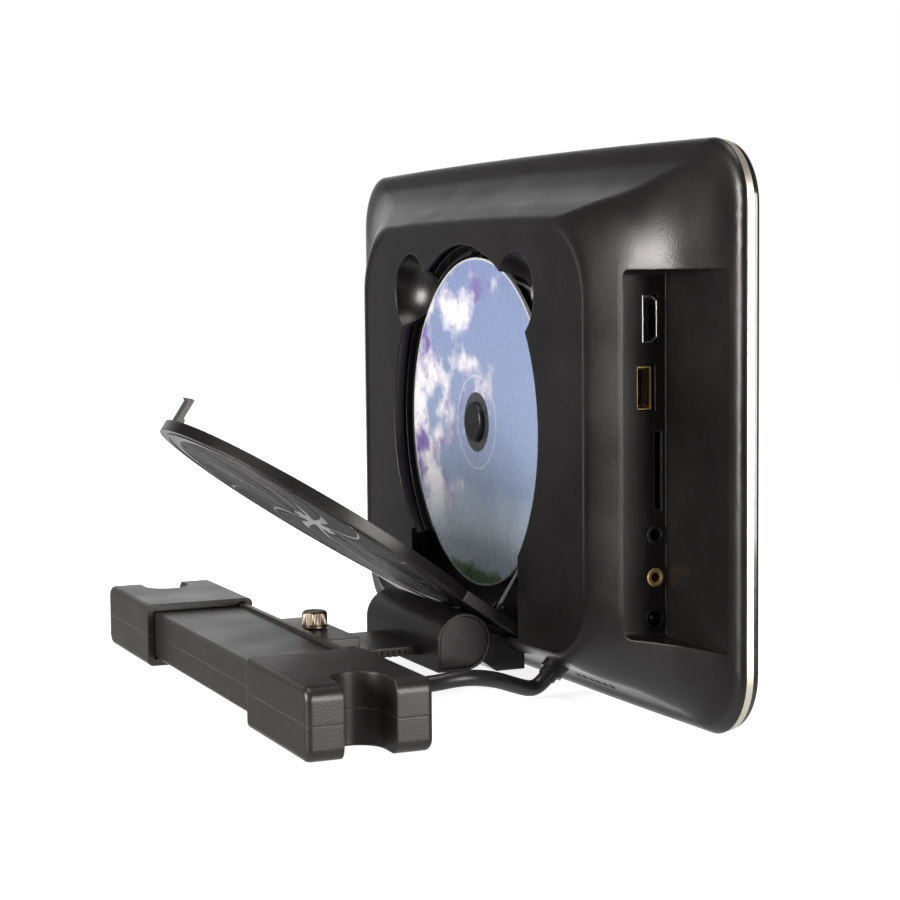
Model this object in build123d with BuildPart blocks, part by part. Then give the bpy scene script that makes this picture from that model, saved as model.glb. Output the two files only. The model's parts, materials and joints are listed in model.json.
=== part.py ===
"""Headrest DVD player: a screen head with a disc bay and ports, hinged to a headrest-post bracket.

Millimetres.  X runs along the width, +Y points from the screen's back to the headrest, +Z is up.
The floor is Z = 0 and the origin is under the middle of the whole object.
"""
import os
from math import cos, pi, radians, sin, tan

from build123d import *

os.makedirs("parts", exist_ok=True)

# ---------------------------------------------------------------- driving dimensions
DISC_R = 60.0                  # a standard 120 mm disc
DISC_T = 1.2
DISC_AT = (8.2, -48.5, 90.0)   # centre of the disc, in the object's frame
RUN = 0.3                      # gap between pieces that move past each other
WALL = 2.0                     # moulded casing wall

# The head is drawn on REAR: x to the right and y up as seen from behind, z towards the viewer.
REAR = Plane(origin=DISC_AT, x_dir=(-1, 0, 0), z_dir=(0, 1, 0))
HEAD_MID_X = DISC_AT[0]
HEAD_W = 310.0
HEAD_TOP = 96.0
HEAD_BOTTOM = -90.0
EDGE_Z = -15.0                 # widest line of the casing
TRIM_Z = -17.5                 # joint of the metal trim and the front bezel
FRONT_Z = -20.0
PLATEAU_Z = 7.0
SLOPE = [                      # (z, left, right, top, bottom, corner radius) of the rear casing
    (EDGE_Z, HEAD_MID_X - HEAD_W / 2, HEAD_MID_X + HEAD_W / 2, HEAD_TOP, HEAD_BOTTOM, 21),
    (-13.2, -145.4, 161.8, 95.0, -89.0, 20.5),
    (-12.2, -141.0, 157.8, 92.0, -87.2, 20),
    (-11.2, -133.0, 150.5, 88.6, -85.2, 20),
    (-8.0, -121.0, 138.0, 84.5, -82.8, 21),
    (-3.0, -111.0, 127.0, 80.5, -80.6, 23),
    (2.6, -102.5, 116.6, 77.0, -78.2, 25),
    (5.6, -98.0, 107.5, 74.5, -75.8, 26),
    (PLATEAU_Z, -92.0, 98.0, 69.5, -72.6, 25),
]
EDGE_BULGE = 1.6               # the long edges are slightly bowed outwards

BAY_R = 64.8                   # round opening of the disc bay
BAY_HALF_W = 48.0              # straight-sided lower part, down to the door's hinge
BAY_SHOULDER = -44.0
BAY_LOW = -72.6
DECK_Z = -3.5                  # floor of the disc bay
DECK_T = 1.5
DECK_WALL_R = 66.5

PORT_X = 117.0                 # face of the wall that the sockets look out of
PORT_RIGHT = 157.0
PORT_TOP = 55.0
PORT_LOW = -62.0
PORT_FLOOR = -13.0

SCREEN_W = 257.0               # 11.6 inch screen, 16:9
SCREEN_H = 145.0

DOOR_R = 63.5
DOOR_T = 4.0
DOOR_AXIS = (-70.0, 4.3)       # y and z of the hinge on REAR
DOOR_LIFT = 33.4               # slope of the open door above level, degrees
PIN_R = 1.2
PIN_END = 50.0                 # the hinge pins reach this far from the disc's axis

BARREL_Y = -23.8               # tilt axis, parallel to X
BARREL_Z = 17.0
BARREL_R = 10.0
BARREL_HALF = 34.0
SHAFT_R = 3.0

BAR_FRONT = 25.6
BAR_REAR = 60.6
BAR_LOW = 2.9
BAR_TOP = 20.1
BAR_HALF = 80.0
JAW_OUT = 116.5
JAW_IN = 59.5
JAW_WALL = 2.6
JAW_TOP = 23.0
SPLIT_Z = 11.5
POST_R = 8.5                   # notch for a headrest post
POST_X = 105.5
POST_Y = 43.1

ARM_HALF = 17.5
ARM_LOW = 10.7
ARM_TOP = 14.1
DOCK_HALF = 24.5
DOCK_FRONT = 11.5
DOCK_TOP = 20.0
SCREW_AT = (0.0, 19.0)

CORD_D = 5.5
CORD_POINTS = [                # centre line, from the gland to the bar
    (-54.8, -44.9, 6.4),
    (-54.8, -42.4, 3.9),
    (-55.6, -38.4, 3.1),
    (-58.5, -31.3, 5.6),
    (-63.5, -21.0, 9.6),
    (-66.5, -9.0, 11.6),
    (-64.0, 3.0, 9.6),
    (-54.5, 11.2, 8.4),
    (-44.5, 13.2, 8.0),
    (-38.0, 17.2, 8.0),
    (-38.0, 24.4, 8.0),
]


def save(piece, name):
    """Label a finished piece and write it as its own file."""
    piece.label = name
    export_step(piece, f"parts/{name}.step")


def rear(level):
    """The head's drawing plane, raised to a level."""
    return REAR.offset(level)


def head_section(level, left, right, top, bottom, corner, inset=0.0):
    """Outline of the head at one level: a rounded rectangle whose long edges bow outwards."""
    left, right = left + inset, right - inset
    top, bottom = top - inset, bottom + inset
    mid = (left + right) / 2
    with BuildSketch(rear(level)) as section:
        with BuildLine():
            ThreePointArc((left, top - EDGE_BULGE), (mid, top), (right, top - EDGE_BULGE))
            Line((right, top - EDGE_BULGE), (right, bottom + EDGE_BULGE))
            ThreePointArc((right, bottom + EDGE_BULGE), (mid, bottom), (left, bottom + EDGE_BULGE))
            Line((left, bottom + EDGE_BULGE), (left, top - EDGE_BULGE))
        make_face()
        fillet(section.vertices(), radius=corner - inset)
    return section.sketch


# ---------------------------------------------------------------- casing of the head
with BuildPart() as head_form:
    loft([head_section(*row) for row in SLOPE])

hollow_levels = [EDGE_Z - 3 * WALL] + [row[0] - WALL for row in SLOPE[1:]]
with BuildPart() as head_hollow:
    loft([head_section(level, *row[1:], inset=WALL) for level, row in zip(hollow_levels, SLOPE)])

with BuildPart() as port_block:
    with BuildSketch(rear(PORT_FLOOR - 1.5)) as block_plan:
        with BuildLine():
            Polyline(
                (PORT_X - 1.8, PORT_LOW - 1.8),
                (PORT_RIGHT + 1.5, PORT_LOW - 1.8),
                (PORT_RIGHT + 1.5, PORT_TOP + 1.8),
                (PORT_X - 1.8, PORT_TOP + 1.8),
                close=True,
            )
        make_face()
    extrude(amount=25)
    add(head_form.part, mode=Mode.INTERSECT)

SOCKETS = {                    # (y, z, width along y, height along z) of each opening in the port wall
    "hdmi": (39.4, -7.3, 15.2, 5.6),
    "usb": (17.6, -5.9, 14.2, 6.4),
    "sd": (-8.9, -10.1, 25.4, 2.6),
}
JACKS = {                      # (y, z, radius) of each round jack
    "av": (-29.2, -9.0, 3.2),
    "headphone": (-42.9, -9.0, 3.2),
    "dc": (-56.2, -8.9, 3.2),
}
PORT_WALL = Plane(origin=REAR.from_local_coords((PORT_X, 0, 0)), x_dir=(0, 0, 1), z_dir=(-1, 0, 0))


def port_plane(depth):
    """Plane of the port wall: x up the wall, y towards the back, raised outwards by depth."""
    return PORT_WALL.offset(depth)


VENT_X = (-72.0, 72.0)         # middles of the two rows of sound slots in the bottom edge
SCOOPS = ((-47, 47, 11), (47, 47, 11))   # centres of the two round finger recesses
SCOOP_R = 15.5
GLAND_R = 4.3
GLAND_TILT = 45.0              # the cord leaves downwards and to the rear
GLAND = Plane(
    origin=CORD_POINTS[0],
    x_dir=(1, 0, 0),
    z_dir=(0, -sin(radians(GLAND_TILT)), cos(radians(GLAND_TILT))),
)


def on_head(*points):
    """Locations of points given in the head's own drawing frame."""
    return [REAR.from_local_coords(point) for point in points]


with BuildPart() as bay_form:
    with BuildSketch(rear(DECK_Z)):
        Circle(BAY_R)
        with Locations((0, (BAY_SHOULDER + BAY_LOW) / 2)):
            Rectangle(2 * BAY_HALF_W, BAY_SHOULDER - BAY_LOW)
    extrude(amount=30)

with BuildPart() as scoop_walls:
    with Locations(*on_head(*SCOOPS)):
        Sphere(SCOOP_R + 1.3)
    with Locations(*on_head(*SCOOPS)):
        Sphere(SCOOP_R, mode=Mode.SUBTRACT)
    add(head_form.part, mode=Mode.INTERSECT)
    with BuildSketch(rear(FRONT_Z)):
        Circle(BAY_R)
    extrude(amount=40, mode=Mode.SUBTRACT)

with BuildPart() as rear_shell:
    add(head_form.part)
    add(head_hollow.part, mode=Mode.SUBTRACT)
    add(port_block.part)
    with BuildSketch(rear(PORT_FLOOR)):
        with Locations(((PORT_X + PORT_RIGHT) / 2, (PORT_TOP + PORT_LOW) / 2)):
            RectangleRounded(PORT_RIGHT - PORT_X, PORT_TOP - PORT_LOW, 2.0)
    extrude(amount=30, mode=Mode.SUBTRACT)
    add(bay_form.part, mode=Mode.SUBTRACT)
    with Locations(*on_head(*SCOOPS)):
        Sphere(SCOOP_R, mode=Mode.SUBTRACT)
    add(scoop_walls.part)
    with BuildSketch(port_plane(-4)):
        for y, z, width, height in SOCKETS.values():
            with Locations((y, z)):
                Rectangle(width, height)
        for y, z, radius in JACKS.values():
            with Locations((y, z)):
                Circle(radius)
    extrude(amount=8, mode=Mode.SUBTRACT)
    with BuildSketch(Plane.XY):
        for vent_x in VENT_X:
            with Locations((DISC_AT[0] - vent_x, DISC_AT[1] - 10.6)):
                with GridLocations(5.0, 1.0, 6, 1):
                    SlotOverall(3.6, 1.3)
    extrude(amount=8, mode=Mode.SUBTRACT)
    with BuildSketch(GLAND):
        Circle(GLAND_R + 0.1)
    extrude(amount=12, mode=Mode.SUBTRACT)
    with BuildSketch(Plane(origin=on_head((PIN_END + 0.2, *DOOR_AXIS))[0], z_dir=(1, 0, 0))):
        Circle(PIN_R + 0.05)
    extrude(amount=2 * PIN_END + 0.4, mode=Mode.SUBTRACT)
save(rear_shell.part, "rear_shell")

# ---------------------------------------------------------------- front of the head
OUTLINE = SLOPE[0][1:]
with BuildPart() as silver_trim:
    extrude(head_section(TRIM_Z, *OUTLINE, inset=0.4), amount=EDGE_Z - TRIM_Z)
    extrude(head_section(TRIM_Z, *OUTLINE, inset=4.5), amount=EDGE_Z - TRIM_Z, mode=Mode.SUBTRACT)
save(silver_trim.part, "silver_trim")

SCREEN_AT = (HEAD_MID_X, 5.0)  # middle of the screen on the head
BUTTON_X = (-37.0, -22.0, -7.0, 8.0, 23.0)
BUTTON_Y = -79.0
BUTTON_R = 3.6
BUTTON_NAMES = ("power_button", "source_button", "volume_down_button", "volume_up_button", "play_button")

with BuildPart() as front_bezel:
    extrude(head_section(FRONT_Z, *OUTLINE, inset=0.9), amount=TRIM_Z - FRONT_Z)
    fillet(front_bezel.faces().sort_by(Axis.Y)[0].edges(), radius=1.2)
    with BuildSketch(rear(FRONT_Z)):
        with Locations(SCREEN_AT):
            Rectangle(SCREEN_W + 0.6, SCREEN_H + 0.6)
        with Locations(*[(x, BUTTON_Y) for x in BUTTON_X]):
            Circle(BUTTON_R + RUN)
    extrude(amount=TRIM_Z - FRONT_Z, mode=Mode.SUBTRACT)
    with BuildSketch(rear(FRONT_Z + 1.6)):
        with Locations(SCREEN_AT):
            Rectangle(265, 153)
    extrude(amount=5, mode=Mode.SUBTRACT)
save(front_bezel.part, "front_bezel")


def screen_layer(name, width, height, front, back):
    """One flat layer of the screen stack, centred on the screen."""
    with BuildPart() as layer:
        with BuildSketch(rear(front)):
            with Locations(SCREEN_AT):
                RectangleRounded(width, height, 1.0)
        extrude(amount=back - front)
    save(layer.part, name)


screen_layer("screen_window", SCREEN_W, SCREEN_H, -19.7, -18.5)
screen_layer("lcd_panel", 264.0, 152.0, -18.4, -16.9)
screen_layer("backlight_tray", 266.0, 154.0, -16.8, -14.8)

for name, x in zip(BUTTON_NAMES, BUTTON_X):
    with BuildPart() as button:
        with BuildSketch(rear(FRONT_Z - 0.5)):
            with Locations((x, BUTTON_Y)):
                Circle(BUTTON_R)
        extrude(amount=3.3)
        fillet(button.faces().sort_by(Axis.Y)[0].edges(), radius=0.5)
        with BuildSketch(rear(TRIM_Z + 0.3)):
            with Locations((x, BUTTON_Y)):
                Circle(BUTTON_R + 1.0)
        extrude(amount=0.7)
    save(button.part, name)

with BuildPart() as button_board:
    with BuildSketch(rear(-14.6)):
        with Locations((sum(BUTTON_X) / 5, BUTTON_Y + 0.4)):
            Rectangle(76, 8)
    extrude(amount=1.2)
    with BuildSketch(rear(-15.7)):
        with Locations(*[(x, BUTTON_Y) for x in BUTTON_X]):
            Rectangle(4.5, 4.5)
    extrude(amount=1.1)
save(button_board.part, "button_board")

# ---------------------------------------------------------------- disc bay and disc drive
DECK_TOP = PLATEAU_Z - WALL - 0.1
LENS_X = 0.0
SLED_Y = (23.0, 35.0)
HUB_R = 7.35


def bay_plan(level, radius, margin):
    """Outline of the bay inside the casing: a circle with a straight-sided lower part."""
    with BuildSketch(rear(level)) as plan:
        Circle(radius)
        with Locations((0, (BAY_SHOULDER + BAY_LOW) / 2)):
            Rectangle(2 * (BAY_HALF_W + margin), BAY_SHOULDER - BAY_LOW + 2 * margin)
    return plan.sketch


def ring(level, outer, inner):
    """A flat ring about the disc's axis."""
    with BuildSketch(rear(level)) as plan:
        Circle(outer)
        Circle(inner, mode=Mode.SUBTRACT)
    return plan.sketch


DECK_LOW = DECK_Z - DECK_T
with BuildPart() as disc_deck:
    extrude(bay_plan(DECK_LOW, DECK_WALL_R + 1.5, 2.0), amount=DECK_TOP - DECK_LOW)
    extrude(bay_plan(DECK_Z, DECK_WALL_R, 0.4), amount=20, mode=Mode.SUBTRACT)
    extrude(ring(DECK_Z, 62.2, 61.2), amount=4.0)
    extrude(ring(DECK_Z, 65.4, 64.6), amount=5.4)
    extrude(ring(DECK_Z, 21.0, 19.5), amount=0.9)
    with BuildSketch(rear(DECK_Z)):
        with Locations((0, (BAY_SHOULDER + BAY_LOW) / 2 - 1)):
            Rectangle(2 * BAY_HALF_W, BAY_SHOULDER - BAY_LOW)
    extrude(amount=20, mode=Mode.SUBTRACT)
    with BuildSketch(rear(DECK_LOW)):
        Circle(12.5)
        with Locations((LENS_X, 41.5)):
            SlotOverall(40, 11, rotation=90)
        with Locations((0, 63.2)):
            Rectangle(9, 5.6)
    extrude(amount=20, mode=Mode.SUBTRACT)
    add(head_hollow.part, mode=Mode.INTERSECT)
    with Locations(*on_head(*SCOOPS)):
        Sphere(SCOOP_R + 1.5, mode=Mode.SUBTRACT)
    with BuildSketch(Plane(origin=on_head((60, *DOOR_AXIS))[0], z_dir=(1, 0, 0))):
        Circle(PIN_R + 0.05)
    extrude(amount=120, mode=Mode.SUBTRACT)
save(disc_deck.part, "disc_deck")

DECK_SCREWS = [(63.4 * cos(radians(a)), 63.4 * sin(radians(a))) for a in (118, 152, 187, 214, -34, 28, 62)]
with BuildPart() as deck_screws:
    with BuildSketch(rear(DECK_Z)):
        with Locations(*DECK_SCREWS):
            Circle(0.9)
    extrude(amount=1.2)
save(deck_screws.part, "deck_screws")

ROD_X = 16.0
ROD_Z = -9.6
ROD_R = 1.0
ROD_L = 52.0
ROD_CLIP_Y = (12.0, 67.0)       # the clips that hold the ends of the sled's rods
LEAD_X = 24.5
ALONG_HEAD = Plane(origin=on_head((0, 0, 0))[0], x_dir=(-1, 0, 0), z_dir=(0, 0, 1))


def upright(y):
    """Plane square to the head's y direction; its own x is the head's x, its own y is minus z."""
    return ALONG_HEAD.offset(y)


with BuildPart() as loader_plate:
    with BuildSketch(rear(-13.6)):
        with Locations((0, 2)):
            RectangleRounded(112, 100, 5)
        with Locations((0, 57)):
            Rectangle(70, 18)
        with Locations((0, 67)):
            Rectangle(38, 4)
    extrude(amount=1.0)
    with BuildSketch(rear(-13.6)):
        with Locations((0, 40)):
            Rectangle(50, 34)
        with Locations((-35, -25), (35, -25), (-36, 20)):
            SlotOverall(22, 9)
    extrude(amount=1.0, mode=Mode.SUBTRACT)
    with BuildSketch(rear(-12.6)):
        with Locations(*[(x, y) for x in (-ROD_X, ROD_X) for y in ROD_CLIP_Y]):
            Rectangle(5, 4)
    extrude(amount=4.6)
    with BuildSketch(upright(ROD_CLIP_Y[0] + 2)):
        with Locations((-ROD_X, -ROD_Z), (ROD_X, -ROD_Z)):
            Circle(ROD_R)
    extrude(amount=ROD_L, mode=Mode.SUBTRACT)
save(loader_plate.part, "loader_plate")

with BuildPart() as loader_dampers:
    with BuildSketch(rear(-12.6)):
        with Locations(*[(x, y) for x in (-50, 50) for y in (-38, 28)]):
            Circle(3.6)
    extrude(amount=12.6 + DECK_LOW)
save(loader_dampers.part, "loader_dampers")

with BuildPart() as spindle_motor:
    with BuildSketch(rear(-12.6)):
        Circle(10.5)
    extrude(amount=5.6)
    with BuildSketch(rear(-7.0)):
        Circle(2.0)
    extrude(amount=0.4)
save(spindle_motor.part, "spindle_motor")

with BuildPart() as spindle_hub:
    with BuildSketch(rear(-6.3)):
        Circle(9.0)
    extrude(amount=3.9)
    with BuildSketch(rear(-2.4)):
        Circle(11.0)
    extrude(amount=1.3)
    with BuildSketch(rear(-1.1)):
        Circle(HUB_R)
    extrude(amount=3.7)
    fillet(spindle_hub.faces().sort_by(Axis.Y)[-1].edges(), radius=0.9)
save(spindle_hub.part, "spindle_hub")

with BuildPart() as hub_pad:
    extrude(ring(-1.1, 10.8, 7.6), amount=0.5)
save(hub_pad.part, "hub_pad")

with BuildPart() as dvd_disc:
    extrude(ring(-DISC_T / 2, DISC_R, 7.5), amount=DISC_T)
save(dvd_disc.part, "dvd_disc")

with BuildPart() as sled_rods:
    with BuildSketch(upright(ROD_CLIP_Y[0] + 2)):
        with Locations((-ROD_X, -ROD_Z), (ROD_X, -ROD_Z)):
            Circle(ROD_R)
    extrude(amount=ROD_L)
save(sled_rods.part, "sled_rods")

with BuildPart() as laser_sled:
    with BuildSketch(upright(SLED_Y[0])):
        with Locations((0, 9.2)):
            RectangleRounded(40, 5.4, 1)
        with Locations((-ROD_X, -ROD_Z), (ROD_X, -ROD_Z)):
            Circle(ROD_R + 0.06, mode=Mode.SUBTRACT)
    extrude(amount=SLED_Y[1] - SLED_Y[0])
save(laser_sled.part, "laser_sled")

with BuildPart() as laser_lens:
    with BuildSketch(rear(-6.5)):
        with Locations((LENS_X, 29)):
            Circle(4.0)
    extrude(amount=2.6)
    with Locations(*on_head((LENS_X, 29, -4.4))):
        Sphere(2.0)
save(laser_lens.part, "laser_lens")

with BuildPart() as lead_screw:
    with BuildSketch(upright(16)):
        with Locations((LEAD_X, -ROD_Z)):
            Circle(1.2)
    extrude(amount=50)
save(lead_screw.part, "lead_screw")

with BuildPart() as sled_motor:
    with BuildSketch(upright(66.5)):
        with Locations((LEAD_X, -ROD_Z)):
            Circle(3.9)
    extrude(amount=8)
save(sled_motor.part, "sled_motor")

# ---------------------------------------------------------------- boards, sockets and speakers
BOARD_Z = -13.4
with BuildPart() as main_board:
    with BuildSketch(rear(BOARD_Z)):
        with Locations((-90, 0)):
            Rectangle(44, 122)
    extrude(amount=1.4)
    with BuildSketch(rear(BOARD_Z + 1.4)):
        with Locations((-91, 30)):
            Rectangle(22, 26)
        with Locations((-92, -14)):
            Rectangle(14, 14)
        with Locations((-84, -40)):
            Rectangle(9, 14)
    extrude(amount=1.6)
save(main_board.part, "main_board")

with BuildPart() as port_board:
    with BuildSketch(rear(BOARD_Z)):
        with Locations((98, -4)):
            Rectangle(33, 112)
    extrude(amount=1.2)
save(port_board.part, "port_board")


def socket_box(spec, depth, gap, wall, lip=0.3):
    """A rectangular metal socket: a shell with a hollow mouth and a plain back."""
    y, z, width, height = spec
    with BuildPart() as socket:
        with BuildSketch(port_plane(-depth)):
            with Locations((y, z)):
                Rectangle(width - 2 * gap, height - 2 * gap)
        extrude(amount=depth - lip)
        with BuildSketch(port_plane(2 - depth)):
            with Locations((y, z)):
                Rectangle(width - 2 * (gap + wall), height - 2 * (gap + wall))
        extrude(amount=depth, mode=Mode.SUBTRACT)
    return socket.part


save(socket_box(SOCKETS["hdmi"], 12.0, 0.1, 0.4), "hdmi_socket")
USB_SHELL = (17.6, -5.3, 13.6, 5.2)
save(socket_box(USB_SHELL, 14.0, 0.0, 0.35), "usb_socket")
save(socket_box((-8.9, -10.1, 25.4, 2.6), 22.0, 0.1, 0.2), "sd_slot")


TONGUES = (                    # (y, z, width, height, depth below the wall, length)
    (39.4, -7.1, 10.6, 1.2, 10.0, 8.4),
    (17.6, -6.2, 11.2, 1.8, 12.0, 10.5),
)
with BuildPart() as socket_tongues:
    for y, z, width, height, depth, length in TONGUES:
        with BuildSketch(port_plane(-depth)):
            with Locations((y, z)):
                Rectangle(width, height)
        extrude(amount=length)
save(socket_tongues.part, "socket_tongues")

for name, (y, z, radius) in JACKS.items():
    bore = 2.7 if name == "dc" else 1.8
    with BuildPart() as jack:
        with BuildSketch(port_plane(-13)):
            with Locations((y, z)):
                Circle(radius - 0.1)
        extrude(amount=13.3)
        with BuildSketch(port_plane(-12)):
            with Locations((y, z)):
                Circle(bore)
        extrude(amount=15, mode=Mode.SUBTRACT)
        if name == "dc":
            with BuildSketch(port_plane(-12)):
                with Locations((y, z)):
                    Circle(0.8)
            extrude(amount=10)
    save(jack.part, f"{name}_jack")

with BuildPart() as speakers:
    with BuildSketch(rear(-13.0)):
        with Locations(*[(vent_x, -73.0) for vent_x in VENT_X]):
            RectangleRounded(36, 7.6, 2)
    extrude(amount=8.0)
save(speakers.part, "speakers")

# ---------------------------------------------------------------- door of the disc bay
OPEN_ANGLE = radians(90 - DOOR_LIFT)
DOOR = Plane(
    origin=on_head((0, *DOOR_AXIS))[0],
    x_dir=(-1, 0, 0),
    z_dir=(0, cos(OPEN_ANGLE), -sin(OPEN_ANGLE)),
)
DOOR_OUT = 2.4                 # outer face, measured from the hinge axis
DOOR_IN = DOOR_OUT - DOOR_T
DOOR_REACH = -DOOR_AXIS[0]     # distance from the hinge to the disc's axis
KNUCKLE = (34.0, 45.6)

STAY_X = 44.0                  # the stay wire, by the door's left edge as seen from behind
STAY_REACH = 11.5
STAY_DROP = -3.2
STAY_PIN_R = 0.5


def door_plan(level, shrink=0.0):
    """Outline of the door: a circle and a straight-sided part down to the hinge."""
    with BuildSketch(DOOR.offset(level)) as plan:
        with Locations((0, DOOR_REACH)):
            Circle(DOOR_R - shrink)
        with Locations((0, 14.5)):
            Rectangle(93 - 2 * shrink, 23 - 2 * shrink)
    return plan.sketch


with BuildPart() as disc_door:
    extrude(door_plan(DOOR_IN), amount=DOOR_T)
    extrude(door_plan(DOOR_IN, shrink=2.2), amount=DOOR_T - 2.0, mode=Mode.SUBTRACT)
    for side in (-1, 1):
        with BuildSketch(Plane(origin=DOOR.from_local_coords((side * KNUCKLE[1], 0, 0)), z_dir=(side, 0, 0))):
            Circle(DOOR_OUT)
        extrude(amount=KNUCKLE[1] - KNUCKLE[0])
        with BuildSketch(DOOR.offset(DOOR_OUT - 1.8)):
            with Locations((side * (KNUCKLE[0] + KNUCKLE[1]) / 2, 2)):
                Rectangle(KNUCKLE[1] - KNUCKLE[0], 4)
        extrude(amount=1.8)
    with BuildSketch(DOOR.offset(STAY_DROP - 0.8)):
        with Locations(*[(STAY_X + gap, STAY_REACH) for gap in (-1.7, 1.7)]):
            Rectangle(1.0, 2.4)
    extrude(amount=-STAY_DROP + 0.8 + DOOR_OUT - 2.0)
    with BuildSketch(Plane(origin=DOOR.from_local_coords((60, 0, 0)), z_dir=(1, 0, 0))):
        Circle(PIN_R + 0.05)
    extrude(amount=120, mode=Mode.SUBTRACT)
    with BuildSketch(Plane(origin=DOOR.from_local_coords((60, STAY_REACH, STAY_DROP)), z_dir=(1, 0, 0))):
        Circle(STAY_PIN_R + 0.05)
    extrude(amount=60, mode=Mode.SUBTRACT)
save(disc_door.part, "disc_door")

with BuildPart() as latch_prong:
    with BuildSketch(Plane(origin=DOOR.from_local_coords((-2.2, 0, 0)), x_dir=DOOR.y_dir, z_dir=(-1, 0, 0))):
        with BuildLine():
            Polyline(
                (130.6, DOOR_IN),
                (133.4, DOOR_IN),
                (133.4, DOOR_IN - 8.0),
                (134.4, DOOR_IN - 8.6),
                (132.4, DOOR_IN - 9.4),
                (131.4, DOOR_IN - 9.4),
                (131.4, DOOR_IN - 2.0),
                (130.6, DOOR_IN - 2.0),
                close=True,
            )
        make_face()
    extrude(amount=4.4)
save(latch_prong.part, "latch_prong")

with BuildPart() as door_pins:
    for side in (-1, 1):
        with BuildSketch(Plane(origin=DOOR.from_local_coords((side * PIN_END, 0, 0)), z_dir=(side, 0, 0))):
            Circle(PIN_R)
        extrude(amount=14.0)
save(door_pins.part, "door_pins")

STAY_L = 15.0
STAY_R = 0.8
STAY_LEAN = radians(33.25)     # lean of the open stay away from upright, towards the screen
STAY = Plane(
    origin=DOOR.from_local_coords((STAY_X, STAY_REACH, STAY_DROP)),
    x_dir=(-1, 0, 0),
    z_dir=(0, -sin(STAY_LEAN), cos(STAY_LEAN)),
)
with BuildPart() as stay_rod:
    with BuildSketch(STAY):
        Circle(STAY_R)
    extrude(amount=STAY_L)
    with BuildSketch(Plane(origin=STAY.from_local_coords((-2.2, 0, 0)), z_dir=(-1, 0, 0))):
        Circle(STAY_PIN_R)
    extrude(amount=4.4)
save(stay_rod.part, "stay_rod")

# ---------------------------------------------------------------- tilt hinge
LEAF_HALF = 26.0
KNUCKLE_R = 7.6
BORE_R = 7.9
HINGE_SIDE = Plane(origin=(0, 0, 0), x_dir=(0, 1, 0), z_dir=(1, 0, 0))


def across(x):
    """Plane square to X: sketch coordinates are Y and Z."""
    return HINGE_SIDE.offset(x)


with BuildPart() as hinge_leaf:
    with BuildSketch(across(-LEAF_HALF)):
        with BuildLine():
            Polyline(
                (DISC_AT[1] - 2, 4.2),
                (DISC_AT[1] + 9, 4.2),
                (DISC_AT[1] + 15, 8.5),
                (BARREL_Y, 12.0),
                (BARREL_Y, 22.0),
                (DISC_AT[1] + 15, 18.2),
                (DISC_AT[1] + 9.2, 17.8),
                (DISC_AT[1] - 2, 17.8),
                close=True,
            )
        make_face()
        with Locations((BARREL_Y, BARREL_Z)):
            Circle(KNUCKLE_R)
            Circle(SHAFT_R, mode=Mode.SUBTRACT)
    extrude(amount=2 * LEAF_HALF)
    add(head_form.part, mode=Mode.SUBTRACT)
save(hinge_leaf.part, "hinge_leaf")

with BuildPart() as leaf_screws:
    with BuildSketch(Plane.XY.offset(3.2)):
        with Locations((0, DISC_AT[1] + 2.5)):
            with GridLocations(16, 1, 3, 1):
                Circle(2.2)
    extrude(amount=1.0)
save(leaf_screws.part, "leaf_screws")

with BuildPart() as tilt_shaft:
    with BuildSketch(across(-31.0)):
        with Locations((BARREL_Y, BARREL_Z)):
            Circle(SHAFT_R)
    extrude(amount=62.0)
save(tilt_shaft.part, "tilt_shaft")


def barrel_plan(x, grow=0.0):
    """Outline of the barrel: round, with a squared lower corner on the arm's side."""
    reach = BARREL_R + grow
    with BuildSketch(across(x)) as plan:
        with Locations((BARREL_Y, BARREL_Z)):
            Circle(reach)
        with Locations((BARREL_Y + reach / 2, BARREL_Z - reach / 2)):
            Rectangle(reach, reach)
        corner = plan.vertices().group_by(Axis.Z)[0].sort_by(Axis.Y)[-1]
        fillet(corner, radius=2.0)
    return plan.sketch


CAP_DEPTH = 3.0
with BuildPart() as barrel_housing:
    extrude(barrel_plan(-BARREL_HALF), amount=2 * BARREL_HALF)
    with BuildSketch(across(-LEAF_HALF - 2)):
        with Locations((BARREL_Y, BARREL_Z)):
            Circle(BORE_R)
    extrude(amount=2 * LEAF_HALF + 4, mode=Mode.SUBTRACT)
    with BuildSketch(across(-BARREL_HALF)):
        with Locations((BARREL_Y, BARREL_Z)):
            Circle(SHAFT_R + 0.05)
    extrude(amount=2 * BARREL_HALF, mode=Mode.SUBTRACT)
    for side in (-1, 1):
        extrude(barrel_plan(side * (BARREL_HALF - CAP_DEPTH), grow=-1.0), amount=side * CAP_DEPTH, mode=Mode.SUBTRACT)
    with BuildSketch(across(-LEAF_HALF - RUN)):
        with BuildLine():
            Polyline(
                (BARREL_Y, BARREL_Z),
                *[(BARREL_Y + 30 * cos(radians(a)), BARREL_Z + 30 * sin(radians(a))) for a in (136, 180, 225, 272)],
                close=True,
            )
        make_face()
    extrude(amount=2 * (LEAF_HALF + RUN), mode=Mode.SUBTRACT)
save(barrel_housing.part, "barrel_housing")

with BuildPart() as barrel_caps:
    for side in (-1, 1):
        extrude(barrel_plan(side * (BARREL_HALF - CAP_DEPTH + 0.1), grow=-1.15), amount=side * (CAP_DEPTH - 0.6))
save(barrel_caps.part, "barrel_caps")

with BuildPart() as friction_washers:
    for side in (-1, 1):
        with BuildSketch(across(side * (LEAF_HALF + RUN))):
            with Locations((BARREL_Y, BARREL_Z)):
                Circle(6.5)
                Circle(SHAFT_R + 0.05, mode=Mode.SUBTRACT)
        extrude(amount=side * 1.2)
save(friction_washers.part, "friction_washers")

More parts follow.
